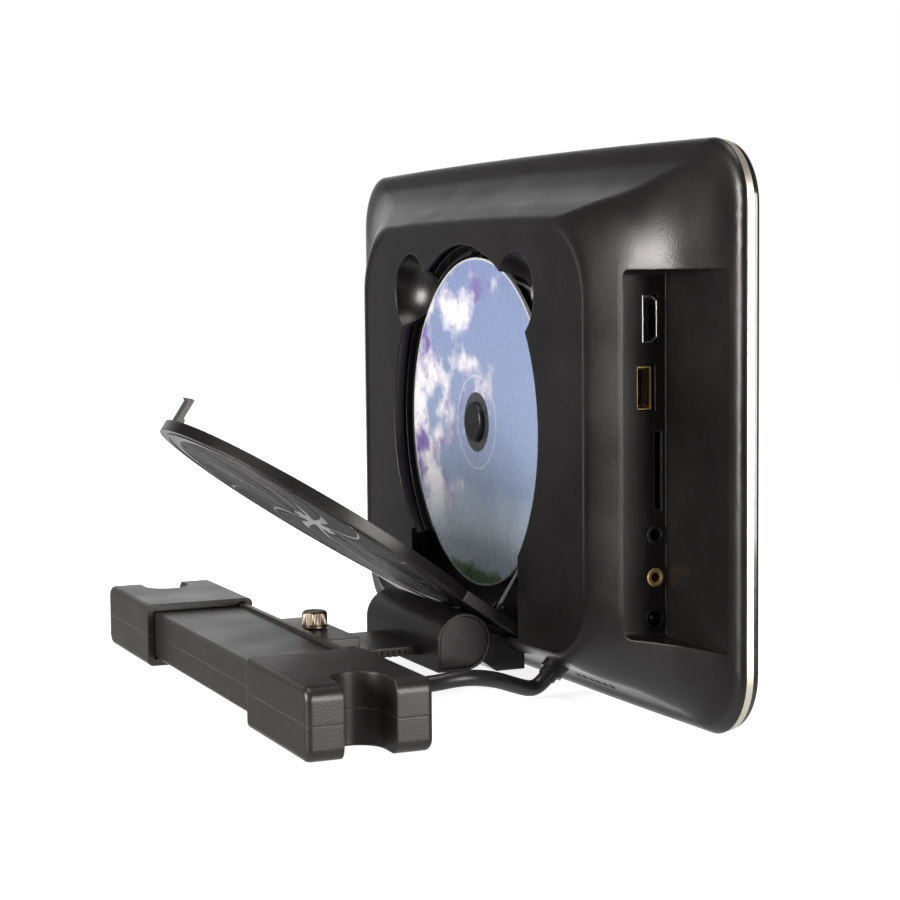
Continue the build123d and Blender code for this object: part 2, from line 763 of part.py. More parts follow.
# ---------------------------------------------------------------- arm, dock and clamp screw
with BuildPart() as arm_plate:
    with BuildSketch(Plane.XY.offset(ARM_LOW)):
        with BuildLine():
            Polyline(
                (-ARM_HALF, BARREL_Y + BARREL_R),
                (ARM_HALF, BARREL_Y + BARREL_R),
                (ARM_HALF, 24.4),
                (-ARM_HALF, 24.4),
                close=True,
            )
        make_face()
        with Locations(SCREW_AT):
            SlotOverall(14, 4.8, rotation=90, mode=Mode.SUBTRACT)
    extrude(amount=ARM_TOP - ARM_LOW)
    with BuildSketch(Plane.XY.offset(ARM_LOW)):
        for side in (-1, 1):
            with Locations((side * ARM_HALF, -1.5)):
                with GridLocations(1, 2.2, 1, 9):
                    Rectangle(1.6, 1.1)
    extrude(amount=2.2, mode=Mode.SUBTRACT)
save(arm_plate.part, "arm_plate")

with BuildPart() as arm_socket:
    with BuildSketch(Plane.XY.offset(8.2)):
        with Locations((0, (DOCK_FRONT + BAR_FRONT) / 2)):
            Rectangle(2 * DOCK_HALF, BAR_FRONT - DOCK_FRONT)
        with Locations(SCREW_AT):
            Circle(2.3, mode=Mode.SUBTRACT)
    extrude(amount=8.2)
    with BuildSketch(Plane.XY.offset(ARM_LOW - 0.2)):
        with Locations((0, (DOCK_FRONT + BAR_FRONT) / 2)):
            Rectangle(2 * ARM_HALF + 0.6, BAR_FRONT - DOCK_FRONT)
    extrude(amount=ARM_TOP - ARM_LOW + 0.4, mode=Mode.SUBTRACT)
save(arm_socket.part, "arm_socket")

with BuildPart() as slide_plate:
    with BuildSketch(Plane.XY.offset(16.8)):
        with Locations((0, (DOCK_FRONT + BAR_FRONT) / 2)):
            Rectangle(2 * DOCK_HALF + 1, BAR_FRONT - DOCK_FRONT)
        with Locations(SCREW_AT):
            Circle(2.3, mode=Mode.SUBTRACT)
    extrude(amount=DOCK_TOP - 16.8)
save(slide_plate.part, "slide_plate")

KNOB_R = 4.5
with BuildPart() as thumb_screw:
    with BuildSketch(Plane.XY.offset(4.6)):
        with Locations(SCREW_AT):
            Circle(2.0)
    extrude(amount=DOCK_TOP + 0.4 - 4.6)
    with BuildSketch(Plane.XY.offset(DOCK_TOP + 0.3)):
        with Locations(SCREW_AT):
            Circle(KNOB_R)
            with PolarLocations(KNOB_R, 30):
                Circle(0.3, mode=Mode.SUBTRACT)
    extrude(amount=6.0)
save(thumb_screw.part, "thumb_screw")

with BuildPart() as clamp_nut:
    with BuildSketch(Plane.XY.offset(5.2)):
        with Locations(SCREW_AT):
            RegularPolygon(3.8, 6)
            Circle(2.05, mode=Mode.SUBTRACT)
    extrude(amount=3.0)
save(clamp_nut.part, "clamp_nut")

# ---------------------------------------------------------------- bar across the headrest posts
BAR_WALL = 2.0
RIDGE = (BAR_FRONT, BAR_FRONT + 2.0, BAR_TOP + 1.2)
GROMMET_R = 3.0


def bar_box(low, high, shrink=0.0):
    """The bar's rectangle from one height to another."""
    with BuildSketch(Plane.XY.offset(low)) as plan:
        with Locations((0, (BAR_FRONT + BAR_REAR) / 2)):
            Rectangle(2 * (BAR_HALF - shrink), BAR_REAR - BAR_FRONT - 2 * shrink)
    return extrude(plan.sketch, amount=high - low, mode=Mode.PRIVATE)


with BuildPart() as bar_upper:
    add(bar_box(SPLIT_Z, BAR_TOP))
    chamfer(bar_upper.faces().sort_by(Axis.Z)[-1].edges(), length=0.8)
    add(bar_box(SPLIT_Z, BAR_TOP - BAR_WALL, shrink=BAR_WALL), mode=Mode.SUBTRACT)
    with BuildSketch(Plane.XY.offset(BAR_TOP - 1.0)):
        with Locations((0, (RIDGE[0] + RIDGE[1]) / 2)):
            Rectangle(2 * BAR_HALF, RIDGE[1] - RIDGE[0])
    extrude(amount=RIDGE[2] - BAR_TOP + 1.0)
save(bar_upper.part, "bar_upper")

with BuildPart() as bar_lower:
    add(bar_box(BAR_LOW, SPLIT_Z))
    chamfer(bar_lower.faces().sort_by(Axis.Z)[0].edges(), length=0.8)
    add(bar_box(BAR_LOW + BAR_WALL, SPLIT_Z, shrink=BAR_WALL), mode=Mode.SUBTRACT)
    with BuildSketch(Plane(origin=CORD_POINTS[-1], z_dir=(0, 1, 0))):
        Circle(GROMMET_R + 0.1)
    extrude(amount=5, mode=Mode.SUBTRACT)
save(bar_lower.part, "bar_lower")

with BuildPart() as bar_grommet:
    with BuildSketch(Plane(origin=CORD_POINTS[-1], z_dir=(0, 1, 0))):
        Circle(4.6)
    extrude(amount=BAR_FRONT - CORD_POINTS[-1][1])
    with BuildSketch(Plane(origin=CORD_POINTS[-1], z_dir=(0, 1, 0))):
        Circle(GROMMET_R)
    extrude(amount=BAR_FRONT - CORD_POINTS[-1][1] + BAR_WALL + 1.0)
save(bar_grommet.part, "bar_grommet")

with BuildPart() as bar_screws:
    with BuildSketch(Plane.XY.offset(BAR_LOW + BAR_WALL)):
        with Locations((0, (BAR_FRONT + BAR_REAR) / 2)):
            with GridLocations(90, 20, 2, 2):
                Circle(1.5)
    extrude(amount=BAR_TOP - BAR_LOW - 2 * BAR_WALL)
save(bar_screws.part, "bar_screws")


def jaw_half(side, low, high, cavity_low, cavity_high):
    """Upper or lower half of a sliding jaw with its notch for a headrest post."""
    middle_y = (BAR_FRONT + BAR_REAR) / 2
    depth = BAR_REAR - BAR_FRONT + 2 * RUN
    outer_face_z = high if low == SPLIT_Z else low
    with BuildPart() as half:
        with BuildSketch(Plane.XY.offset(low)):
            with Locations((side * (JAW_IN + JAW_OUT) / 2, middle_y)):
                Rectangle(JAW_OUT - JAW_IN, depth + 2 * JAW_WALL)
        extrude(amount=high - low)
        cover = half.faces().sort_by(Axis.Z)[-1 if low == SPLIT_Z else 0]
        outer_edge = cover.edges().filter_by(Axis.Y).sort_by(Axis.X)[-1 if side > 0 else 0]
        fillet(outer_edge, radius=4.2)
        upright_edges = half.edges().filter_by(Axis.Z).group_by(Axis.X)[-1 if side > 0 else 0]
        fillet(upright_edges, radius=2.0)
        with BuildSketch(Plane.XY.offset(cavity_low)):
            with Locations((side * (JAW_IN + 94.0) / 2, middle_y)):
                Rectangle(94.0 - JAW_IN, depth)
        extrude(amount=cavity_high - cavity_low, mode=Mode.SUBTRACT)
        with BuildSketch(Plane.XY.offset(cavity_low)):
            with Locations((side * (JAW_IN + 94.0) / 2, (RIDGE[0] + RIDGE[1]) / 2)):
                Rectangle(94.0 - JAW_IN, RIDGE[1] - RIDGE[0] + 2 * RUN)
        extrude(amount=min(RIDGE[2] + RUN, high) - cavity_low, mode=Mode.SUBTRACT)
        with BuildSketch(Plane.XY.offset(low)):
            with Locations((side * POST_X, POST_Y)):
                Circle(POST_R)
            with Locations((side * (POST_X + 10), POST_Y)):
                Rectangle(20, 2 * POST_R)
        extrude(amount=high - low, mode=Mode.SUBTRACT)
    return half.part


for side, name in ((-1, "right"), (1, "left")):
    save(jaw_half(side, SPLIT_Z, JAW_TOP, SPLIT_Z, BAR_TOP + RUN), f"jaw_{name}_upper")
    save(jaw_half(side, 0.0, SPLIT_Z, BAR_LOW - RUN, SPLIT_Z), f"jaw_{name}_lower")

# ---------------------------------------------------------------- gland and cord
with BuildPart() as cable_gland:
    with BuildSketch(GLAND):
        Circle(CORD_D / 2 + 0.5)
    extrude(amount=2.6)
    with BuildSketch(GLAND.offset(2.4)):
        Circle(GLAND_R)
    extrude(amount=6.6)
save(cable_gland.part, "cable_gland")


def tube_radii(points):
    """Radius at each corner of a route: as large as the two runs beside it allow."""
    radii = []
    for before, corner, after in zip(points, points[1:], points[2:]):
        arriving = Vector(*corner) - Vector(*before)
        leaving = Vector(*after) - Vector(*corner)
        turn = radians(arriving.get_angle(leaving))
        radii.append(0.45 * min(arriving.length, leaving.length) / tan(turn / 2))
    return radii


cord_radii = tube_radii(CORD_POINTS)
with BuildPart() as signal_cable:
    with BuildLine():
        FilletPolyline(*CORD_POINTS, radius=cord_radii)
    with BuildSketch(Plane(origin=CORD_POINTS[0], z_dir=Vector(*CORD_POINTS[1]) - Vector(*CORD_POINTS[0]))):
        Circle(CORD_D / 2)
    sweep()
save(signal_cable.part, "signal_cable")
cord_length = signal_cable.part.volume / (pi * (CORD_D / 2) ** 2)
print("cord radii", [round(radius, 1) for radius in cord_radii], "length from volume", round(cord_length, 1))
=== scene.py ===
"""Headrest DVD player: cable, detail pieces, materials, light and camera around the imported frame."""
import json
import math
import random

import bmesh
import bpy
from mathutils import Matrix, Vector

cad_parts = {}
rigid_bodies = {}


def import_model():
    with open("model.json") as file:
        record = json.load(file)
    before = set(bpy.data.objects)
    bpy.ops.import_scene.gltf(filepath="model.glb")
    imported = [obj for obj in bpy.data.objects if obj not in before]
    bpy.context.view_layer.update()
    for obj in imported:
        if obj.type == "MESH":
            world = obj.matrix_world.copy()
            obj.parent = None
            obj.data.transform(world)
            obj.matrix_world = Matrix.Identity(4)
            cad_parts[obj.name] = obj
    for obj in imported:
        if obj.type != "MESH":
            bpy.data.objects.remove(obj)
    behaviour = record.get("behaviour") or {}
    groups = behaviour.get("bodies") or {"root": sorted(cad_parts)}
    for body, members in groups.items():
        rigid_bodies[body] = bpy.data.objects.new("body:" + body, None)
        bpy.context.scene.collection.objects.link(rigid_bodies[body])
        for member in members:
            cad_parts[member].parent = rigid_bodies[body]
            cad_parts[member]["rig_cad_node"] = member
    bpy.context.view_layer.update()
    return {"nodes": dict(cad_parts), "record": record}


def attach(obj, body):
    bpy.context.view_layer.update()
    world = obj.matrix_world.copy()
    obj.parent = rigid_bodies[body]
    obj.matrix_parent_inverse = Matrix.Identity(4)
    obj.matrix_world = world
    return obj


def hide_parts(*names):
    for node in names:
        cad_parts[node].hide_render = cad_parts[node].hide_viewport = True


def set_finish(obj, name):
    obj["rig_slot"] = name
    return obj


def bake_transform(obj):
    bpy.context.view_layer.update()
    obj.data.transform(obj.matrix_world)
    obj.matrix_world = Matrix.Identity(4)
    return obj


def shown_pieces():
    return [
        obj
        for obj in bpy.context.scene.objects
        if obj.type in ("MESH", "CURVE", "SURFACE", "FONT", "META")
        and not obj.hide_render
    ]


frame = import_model()
nodes = frame["nodes"]
scene = bpy.context.scene
MM = 0.001

DISC_AT = (8.2, -48.5, 90.0)         # centre of the disc, millimetres
DOOR_AXIS = (-70.0, 4.3)
DOOR_LIFT = math.radians(33.4)
DOOR_OUT = 2.4
PORT_X = 117.0


def head(x, y, z):
    """A point given on the head's back (x right, y up, z out, from the disc's centre), in metres."""
    return Vector((DISC_AT[0] - x, DISC_AT[1] + z, DISC_AT[2] + y)) * MM


def door(x, y, z):
    """A point given on the open door (x right, y from the hinge to the free end, z out), in metres."""
    along = Vector((0, math.cos(DOOR_LIFT), math.sin(DOOR_LIFT)))
    outward = Vector((0, math.sin(DOOR_LIFT), -math.cos(DOOR_LIFT)))
    return head(0, *DOOR_AXIS) + (Vector((-x, 0, 0)) + along * y + outward * z) * MM


def port(y, z, out):
    """A point on the wall that the sockets look out of, raised outwards, in metres."""
    return head(PORT_X + out, y, z)


# ---------------------------------------------------------------- camera
CAMERA_AT = Vector((-0.6959, 0.2667, 0.1443))
CAMERA_RIGHT = Vector((-0.3971, -0.9178, -0.0098)).normalized()
CAMERA_BACK = -Vector((0.9149, -0.3949, -0.0833)).normalized()
camera_data = bpy.data.cameras.new("camera")
camera_data.lens = 84.4
camera_data.sensor_width = 36.0
camera_data.clip_start = 0.01
camera_data.clip_end = 50.0
camera = bpy.data.objects.new("camera", camera_data)
camera_up = CAMERA_BACK.cross(CAMERA_RIGHT).normalized()
camera.matrix_world = Matrix((
    (CAMERA_RIGHT[0], camera_up[0], CAMERA_BACK[0], CAMERA_AT[0]),
    (CAMERA_RIGHT[1], camera_up[1], CAMERA_BACK[1], CAMERA_AT[1]),
    (CAMERA_RIGHT[2], camera_up[2], CAMERA_BACK[2], CAMERA_AT[2]),
    (0, 0, 0, 1),
))
scene.collection.objects.link(camera)
scene.camera = camera


# ---------------------------------------------------------------- mesh helpers
def add_mesh(name, vertices, faces, smooth=True):
    """A mesh object from points in metres."""
    mesh = bpy.data.meshes.new(name)
    mesh.from_pydata([tuple(v) for v in vertices], [], faces)
    mesh.update()
    shape = bmesh.new()
    shape.from_mesh(mesh)
    bmesh.ops.recalc_face_normals(shape, faces=shape.faces)
    shape.to_mesh(mesh)
    shape.free()
    for polygon in mesh.polygons:
        polygon.use_smooth = smooth
    piece = bpy.data.objects.new(name, mesh)
    scene.collection.objects.link(piece)
    return piece


def sharpen(piece, angle=35.0):
    """Keeps the edges sharper than an angle, in degrees, crisp on a smooth-shaded piece."""
    shape = bmesh.new()
    shape.from_mesh(piece.data)
    for edge in shape.edges:
        edge.smooth = len(edge.link_faces) == 2 and edge.calc_face_angle(0) < math.radians(angle)
    shape.to_mesh(piece.data)
    shape.free()
    return piece


def side_frame(axis):
    """Two directions square to an axis."""
    axis = Vector(axis).normalized()
    first = axis.orthogonal().normalized()
    return first, axis.cross(first)


def ring_faces(low, high, count):
    """Faces between two rings of points, each given by the number of its first point."""
    return [(low + k, low + (k + 1) % count, high + (k + 1) % count, high + k) for k in range(count)]


def turned_points(at, axis, profile, steps, ripple=None):
    """Rings of points round an axis, one for each (radius, height) of the profile, in mm."""
    axis = Vector(axis).normalized()
    first, second = side_frame(axis)
    points = []
    for radius, height in profile:
        for step in range(steps):
            turn = math.tau * step / steps
            reach = radius * (ripple(step, height) if ripple else 1.0)
            across = first * math.cos(turn) * reach + second * math.sin(turn) * reach
            points.append(at + (across + axis * height) * MM)
    return points


def lathe(name, at, axis, profile, steps=48, ripple=None):
    """A turned piece with flat ends: profile is (radius, height) in mm from one end to the other."""
    vertices = turned_points(at, axis, profile, steps, ripple)
    last = len(vertices) - steps
    faces = [face for row in range(0, last, steps) for face in ring_faces(row, row + steps, steps)]
    faces.append(tuple(range(steps)))
    faces.append(tuple(range(last, last + steps)))
    return sharpen(add_mesh(name, vertices, faces))


def hollow_lathe(name, at, axis, profile, steps=48):
    """A turned ring: profile is a closed loop of (radius, height) in mm."""
    vertices = turned_points(at, axis, profile, steps)
    count = len(vertices)
    faces = []
    for row in range(0, count, steps):
        faces.extend(ring_faces(row, (row + steps) % count, steps))
    return sharpen(add_mesh(name, vertices, faces))


def add_bar(vertices, faces, place, line, width, low, high):
    """Adds a thin raised line with a bevelled top along points (x, y), on a surface place(x, y, z)."""
    start = len(vertices)
    shoulder = high - 0.3 * (high - low)
    section = ((-0.5, low), (-0.5, shoulder), (-0.28, high), (0.28, high), (0.5, shoulder), (0.5, low))
    for index, (x, y) in enumerate(line):
        before = line[max(index - 1, 0)]
        after = line[min(index + 1, len(line) - 1)]
        along = Vector((after[0] - before[0], after[1] - before[1])).normalized()
        for across, level in section:
            vertices.append(place(x - along.y * across * width, y + along.x * across * width, level))
    count = len(section)
    last = start + (len(line) - 1) * count
    for base in range(start, last, count):
        faces.extend(ring_faces(base, base + count, count))
    faces.append(tuple(range(start, start + count)))
    faces.append(tuple(range(last, last + count)))


def add_plate(vertices, faces, place, outline, low, high):
    """Adds a flat plate with the given outline of (x, y), between two levels."""
    start = len(vertices)
    count = len(outline)
    for level in (low, high):
        vertices.extend(place(x, y, level) for x, y in outline)
    faces.append(tuple(range(start, start + count)))
    faces.append(tuple(range(start + count, start + 2 * count)))
    faces.extend(ring_faces(start, start + count, count))


# ---------------------------------------------------------------- cable
CORD_D = 0.0055
CORD_POINTS = [                # centre line, from the gland to the bar, metres
    (-0.0548, -0.0449, 0.0064),
    (-0.0548, -0.0424, 0.0039),
    (-0.0556, -0.0384, 0.0031),
    (-0.0585, -0.0313, 0.0056),
    (-0.0635, -0.0210, 0.0096),
    (-0.0665, -0.0090, 0.0116),
    (-0.0640, 0.0030, 0.0096),
    (-0.0545, 0.0112, 0.0084),
    (-0.0445, 0.0132, 0.0080),
    (-0.0380, 0.0172, 0.0080),
    (-0.0380, 0.0244, 0.0080),
]


def smooth_line(points):
    """Points along a NURBS spline that has the given points as its control points."""
    curve = bpy.data.curves.new("cable_line", "CURVE")
    curve.dimensions = "3D"
    curve.resolution_u = 12
    spline = curve.splines.new("NURBS")
    spline.points.add(len(points) - 1)
    for spline_point, point in zip(spline.points, points):
        spline_point.co = (*point, 1.0)
    spline.order_u = 3
    spline.use_endpoint_u = True
    carrier = bpy.data.objects.new("cable_line", curve)
    scene.collection.objects.link(carrier)
    bpy.context.view_layer.update()
    mesh = bpy.data.meshes.new_from_object(carrier)
    line = [v.co.copy() for v in mesh.vertices]
    bpy.data.objects.remove(carrier)
    bpy.data.meshes.remove(mesh)
    return line


def tube(name, line, radius, steps=28):
    """A round closed tube along a line of points."""
    vertices = []
    side = (line[1] - line[0]).orthogonal().normalized()
    for index, point in enumerate(line):
        ahead = line[min(index + 1, len(line) - 1)] - line[max(index - 1, 0)]
        ahead.normalize()
        side = (side - ahead * side.dot(ahead)).normalized()
        other = ahead.cross(side)
        for step in range(steps):
            turn = math.tau * step / steps
            vertices.append(point + (side * math.cos(turn) + other * math.sin(turn)) * radius)
    last = (len(line) - 1) * steps
    faces = [face for base in range(0, last, steps) for face in ring_faces(base, base + steps, steps)]
    faces.append(tuple(range(steps)))
    faces.append(tuple(range(last, last + steps)))
    return sharpen(add_mesh(name, vertices, faces), 60)


cable_line = smooth_line(CORD_POINTS)
cable = tube("signal_cable_detail", cable_line, CORD_D / 2)
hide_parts("signal_cable")
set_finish(cable, "cable_black")
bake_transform(cable)

# ---------------------------------------------------------------- raised pattern on the door
DOOR_MID = 70.0
ARM_COUNT = 14
STAR_R = 9.0                    # where the hatching starts, round the plain star
HATCH_R = 55.0                  # where it ends
LINE_GAP = 0.95
LINE_W = 0.5
LINE_H = 0.25
ZIGZAG_STEP = 1.5
ZIGZAG_REACH = 0.22
RIM_IN = 59.6                   # the raised rim round the hatching
RIM_OUT = 60.8
SUNK = 0.05                     # how far raised details reach into their piece


def swirl_lines():
    """Short zigzag lines that fill the arms of a swirl round a plain star."""
    lines = []
    for arm in range(ARM_COUNT):
        radius = STAR_R
        while radius < HATCH_R:
            outwards = (radius - STAR_R) / (HATCH_R - STAR_R)
            middle = math.tau * arm / ARM_COUNT + 0.55 * max(0.0, outwards - 0.25) ** 1.3
            half = math.tau / ARM_COUNT * (0.17 + 0.29 * min(1.0, outwards / 0.55))
            steps = max(3, int(radius * half * 2 / ZIGZAG_STEP))
            line = []
            for k in range(steps + 1):
                turn = middle + half * (2 * k / steps - 1)
                reach = radius + ZIGZAG_REACH * (1 if k % 2 else -1)
                line.append((reach * math.cos(turn), DOOR_MID + reach * math.sin(turn)))
            lines.append(line)
            radius += LINE_GAP
    return lines


vertices, faces = [], []
for line in swirl_lines():
    add_bar(vertices, faces, door, line, LINE_W, DOOR_OUT - SUNK, DOOR_OUT + LINE_H)
door_relief = sharpen(add_mesh("door_relief", vertices, faces))
rim_profile = [
    (RIM_IN, DOOR_OUT - SUNK), (RIM_IN, DOOR_OUT + 0.25), (RIM_IN + 0.3, DOOR_OUT + 0.4),
    (RIM_OUT - 0.3, DOOR_OUT + 0.4), (RIM_OUT, DOOR_OUT + 0.25), (RIM_OUT, DOOR_OUT - SUNK),
]
door_outward = door(0, 0, 1) - door(0, 0, 0)
door_rim = hollow_lathe("door_rim_line", door(0, DOOR_MID, 0), door_outward, rim_profile, steps=160)
# The hatching takes the lighter latch_black finish as a painted sheen on its raised lines; the rim keeps
# the shell's finish.
for piece, slot_name in ((door_relief, "latch_black"), (door_rim, "shell_black")):
    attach(piece, "door")
    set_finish(piece, slot_name)

# ---------------------------------------------------------------- spindle cap
random.seed(7)
HUB_TOP = 2.6
CAP_RINGS = ((1.6, 5), (3.4, 9), (5.2, 13))     # radius of each ring of marks, and their number
MARK_REACH = 0.55
FINGER_RADII = (5.9, 6.5, 7.0)
vertices, faces = [], []
for ring_radius, count in CAP_RINGS:
    for k in range(count):
        turn = math.tau * k / count + random.uniform(-0.2, 0.2)
        x, y = ring_radius * math.cos(turn), ring_radius * math.sin(turn)
        lean = random.choice((0.5, 1.2, 2.2, 2.8))
        dx, dy = MARK_REACH * math.cos(lean), MARK_REACH * math.sin(lean)
        mark_line = [(x - dx, y - dy), (x + dx, y + dy)]
        add_bar(vertices, faces, head, mark_line, 0.5, HUB_TOP - 0.1, HUB_TOP + 0.08)
cap_marks = add_mesh("spindle_cap_marks", vertices, faces, smooth=False)
vertices, faces = [], []
for k in range(3):
    turn = math.tau * k / 3 + 0.5
    finger_line = [(r * math.cos(turn), r * math.sin(turn)) for r in FINGER_RADII]
    add_bar(vertices, faces, head, finger_line, 2.2, 0.75, 1.9)
cap_fingers = sharpen(add_mesh("spindle_spring_fingers", vertices, faces))
for piece in (cap_marks, cap_fingers):
    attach(piece, "spindle")
    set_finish(piece, "deck_black")

# ---------------------------------------------------------------- thumb screw
SCREW_Y = 19.0
KNURLS = 34
KNURL_RANGE = (21.4, 25.6)      # heights between which the grip is grooved
KNURL_DEPTH = 0.955


def knurl(step, height):
    """Radius factor that cuts upright grooves into the screw's grip."""
    if KNURL_RANGE[0] < height < KNURL_RANGE[1] and step % 4 > 1:
        return KNURL_DEPTH
    return 1.0


knob_profile = [
    (2.0, 4.6), (2.0, 20.3), (4.1, 20.3), (4.45, 20.6), (4.45, 21.2), (4.1, 21.35), (4.1, 21.4),
    (4.5, 21.6), (4.5, 25.4), (4.3, 25.7), (3.9, 26.25), (3.2, 26.3), (3.0, 26.05), (0.4, 26.05),
]
knob = lathe(
    "thumb_screw_detail", Vector((0, SCREW_Y, 0)) * MM, (0, 0, 1), knob_profile,
    steps=4 * KNURLS, ripple=knurl,
)
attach(knob, "clamp_screw")
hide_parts("thumb_screw")
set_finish(knob, "knob_metal")

# ---------------------------------------------------------------- sockets
HDMI_MIDDLE = (39.4, -7.3)
HDMI_SIZE = (15.0, 5.4)
HDMI_CUT = 1.9
HDMI_DEPTH = 12.0
USB_Y = 17.6


def hdmi_outline(inset):
    """Outline of the digital video socket: a rectangle with two cut corners."""
    y, z = HDMI_MIDDLE
    half_w, half_h = HDMI_SIZE[0] / 2 - inset, HDMI_SIZE[1] / 2 - inset
    cut = HDMI_CUT - inset * 0.3
    return [
        (y - half_w, z + half_h), (y + half_w, z + half_h), (y + half_w, z - half_h + cut),
        (y + half_w - cut * 0.8, z - half_h), (y - half_w + cut * 0.8, z - half_h),
        (y - half_w, z - half_h + cut),
    ]


def socket_shell(name, outline, depth, lip):
    """A metal socket with a folded mouth, open at the front and closed at the back."""
    loops = [
        (outline(0.0), -depth), (outline(0.0), lip - 0.15), (outline(0.12), lip), (outline(0.42), lip),
        (outline(0.5), lip - 0.12), (outline(0.5), 1.0 - depth),
    ]
    vertices = [port(y, z, out) for loop, out in loops for y, z in loop]
    count = len(loops[0][0])
    last = len(vertices) - count
    faces = [face for row in range(0, last, count) for face in ring_faces(row, row + count, count)]
    faces.append(tuple(range(count)))
    faces.append(tuple(range(last, last + count)))
    return sharpen(add_mesh(name, vertices, faces), 20)


hdmi = socket_shell("hdmi_socket_detail", hdmi_outline, HDMI_DEPTH, 0.25)
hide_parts("hdmi_socket")
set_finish(hdmi, "steel")
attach(hdmi, "head")

vertices, faces = [], []


def below_tongue(y, depth, level):
    """A point on a socket's tongue, with the depth measured inwards from the wall."""
    return port(y, level, -depth)


def contact_row(y, z, count, pitch, width, reach):
    """Adds a row of contact strips on one face of a socket's tongue."""
    near, far = reach
    for k in range(count):
        middle = y + (k - (count - 1) / 2) * pitch
        left, right = middle - width / 2, middle + width / 2
        strip = [(left, near), (right, near), (right, far), (left, far)]
        add_plate(vertices, faces, below_tongue, strip, z - 0.02, z + 0.08)


for level in (-6.5, -7.72):
    contact_row(HDMI_MIDDLE[0], level, 9, 1.0, 0.45, (2.2, 8.0))
contact_row(USB_Y, -7.14, 4, 2.4, 1.1, (1.9, 10.0))
contacts = add_mesh("socket_contacts", vertices, faces, smooth=False)
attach(contacts, "head")
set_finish(contacts, "socket_gold")

OUT_OF_WALL = port(0, 0, 1) - port(0, 0, 0)
JACKS = {"av": (-29.2, -9.0), "headphone": (-42.9, -9.0), "dc": (-56.2, -8.9)}
ring_profile = [(1.85, 0.28), (1.85, 0.55), (2.0, 0.68), (2.75, 0.68), (2.95, 0.5), (2.95, 0.28)]
liner_profile = [(1.45, -8.0), (1.45, 0.2), (1.78, 0.2), (1.78, -8.0)]
pin_profile = [(0.82, -11.0), (0.82, -2.1), (0.7, -1.9), (0.25, -1.7)]
JACK_PIECES = (
    ("av_jack_ring", "av", ring_profile, "socket_black"),
    ("headphone_jack_ring", "headphone", ring_profile, "socket_gold"),
    ("headphone_jack_liner", "headphone", liner_profile, "socket_gold"),
)
for name, jack, profile, slot_name in JACK_PIECES:
    jack_piece = hollow_lathe(name, port(*JACKS[jack], 0), OUT_OF_WALL, profile)
    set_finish(jack_piece, slot_name)
    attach(jack_piece, "head")
dc_pin = lathe("dc_pin_sleeve", port(*JACKS["dc"], 0), OUT_OF_WALL, pin_profile, steps=32)
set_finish(dc_pin, "steel")
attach(dc_pin, "head")

# ---------------------------------------------------------------- marks on the front buttons
BUTTON_Y = -79.0
BUTTON_Z = -20.5
BUTTONS = {"power": -37.0, "source": -22.0, "volume_down": -7.0, "volume_up": 8.0, "play": 23.0}


def arc(x, y, radius, start, end, steps=20):
    """Points of an arc about (x, y)."""
    turns = [start + (end - start) * k / steps for k in range(steps + 1)]
    return [(x + radius * math.cos(turn), y + radius * math.sin(turn)) for turn in turns]


MARKS = {
    "power": [arc(0, -0.1, 1.35, math.radians(125), math.radians(415)), [(0, 0.2), (0, 1.7)]],
    "source": [[(-1.5, 0.9), (0.5, 0.9), (0.5, -0.9), (-1.5, -0.9), (-1.5, 0.9)], [(0.0, 0.0), (1.8, 0.0)]],
    "volume_down": [[(-1.4, 0), (1.4, 0)]],
    "volume_up": [[(-1.4, 0), (1.4, 0)], [(0, -1.4), (0, 1.4)]],
    "play": [[(-0.9, -1.3), (1.3, 0), (-0.9, 1.3), (-0.9, -1.3)]],
}


def front_face(x, y, level):
    """A point on the button faces, raised towards the viewer of the screen."""
    return head(x, y, BUTTON_Z - level)


for name, x in BUTTONS.items():
    vertices, faces = [], []
    for line in MARKS[name]:
        on_button = [(x - a, BUTTON_Y + b) for a, b in line]
        add_bar(vertices, faces, front_face, on_button, 0.42, -SUNK, 0.08)
    mark = add_mesh(f"{name}_mark", vertices, faces)
    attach(mark, name)
    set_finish(mark, "trim_silver")


# ---------------------------------------------------------------- materials
def new_material(name):
    """An empty node material with its shader."""
    material = bpy.data.materials.new(name)
    material.use_nodes = True
    tree = material.node_tree
    shader = tree.nodes["Principled BSDF"]
    return material, tree, shader


def position(tree, shift=(0, 0, 0), scale=(1, 1, 1)):
    """The surface position in the object's own metres, moved and scaled."""
    source = tree.nodes.new("ShaderNodeTexCoord")
    mapping = tree.nodes.new("ShaderNodeMapping")
    mapping.inputs["Location"].default_value = shift
    mapping.inputs["Scale"].default_value = scale
    tree.links.new(source.outputs["Object"], mapping.inputs["Vector"])
    return mapping.outputs["Vector"]


def noise(tree, vector, scale, detail=2.0, rough=0.5):
    """A noise pattern, about 0.5 on average."""
    node = tree.nodes.new("ShaderNodeTexNoise")
    node.inputs["Scale"].default_value = scale
    node.inputs["Detail"].default_value = detail
    node.inputs["Roughness"].default_value = rough
    tree.links.new(vector, node.inputs["Vector"])
    return node.outputs["Fac"]


def spread(tree, value, low_in, high_in, low_out, high_out):
    """Maps a value from one range to another, clamped."""
    node = tree.nodes.new("ShaderNodeMapRange")
    node.inputs["From Min"].default_value = low_in
    node.inputs["From Max"].default_value = high_in
    node.inputs["To Min"].default_value = low_out
    node.inputs["To Max"].default_value = high_out
    tree.links.new(value, node.inputs["Value"])
    return node.outputs["Result"]


def blend_colours(tree, factor, first, second):
    """A colour between two others; each is a socket or an RGB triple."""
    node = tree.nodes.new("ShaderNodeMix")
    node.data_type = "RGBA"
    tree.links.new(factor, node.inputs["Factor"])
    for socket, colour in ((node.inputs[6], first), (node.inputs[7], second)):
        if isinstance(colour, tuple):
            socket.default_value = (*colour, 1.0)
        else:
            tree.links.new(colour, socket)
    return node.outputs[2]


